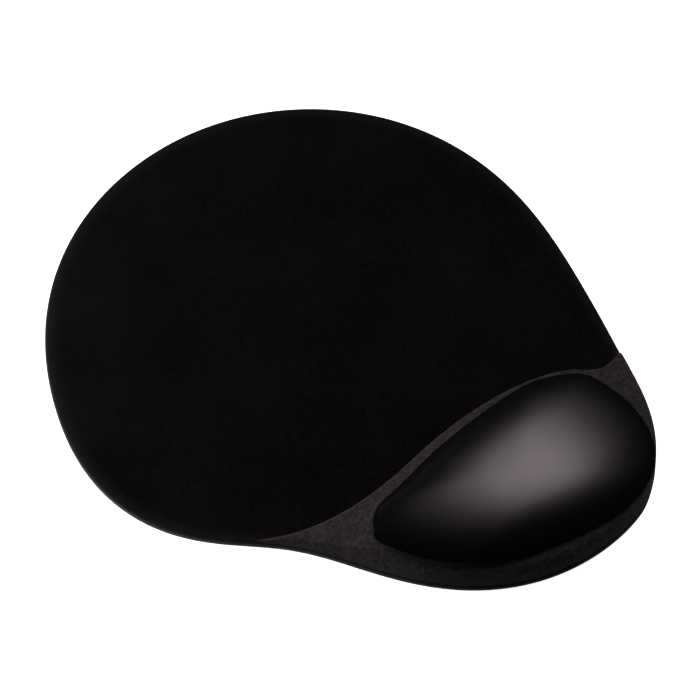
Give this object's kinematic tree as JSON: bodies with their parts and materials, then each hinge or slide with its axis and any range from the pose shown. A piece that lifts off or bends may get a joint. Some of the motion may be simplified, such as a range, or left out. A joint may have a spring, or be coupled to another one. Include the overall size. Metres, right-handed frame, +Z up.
{
  "type": "mouse pad with gel wrist rest",
  "caption": "Round cloth-topped mouse pad whose front nose carries a raised horned collar round an egg-shaped gel wrist cushion.",
  "frame": {"origin": "centre of the pad's bounding box on the underside, where it lies on the desk", "axes": "+Z up from the desk, -Y towards the user and the wrist rest, +X to the right"},
  "size_m": [0.208, 0.25, 0.024],
  "materials": {
    "grip_rubber": "matte, textured",
    "foam_rubber": "matte, closed cell",
    "tracking_cloth": "matte, fine knit",
    "collar_foam": "matte, closed cell",
    "collar_cloth": "matte, brushed stretch cloth",
    "gel_film": "satin film",
    "gel": "soft gel",
    "tape": "adhesive film"
  },
  "bodies": {
    "root": {"grip_base": "grip_rubber", "foam_core": "foam_rubber", "tracking_cloth": "tracking_cloth", "collar_core": "collar_foam", "collar_cover": "collar_cloth", "collar_tape": "tape", "gel_skin": "gel_film", "gel_fill": "gel", "gel_backing": "gel_film", "gel_tape": "tape"}
  },
  "joints": []
}
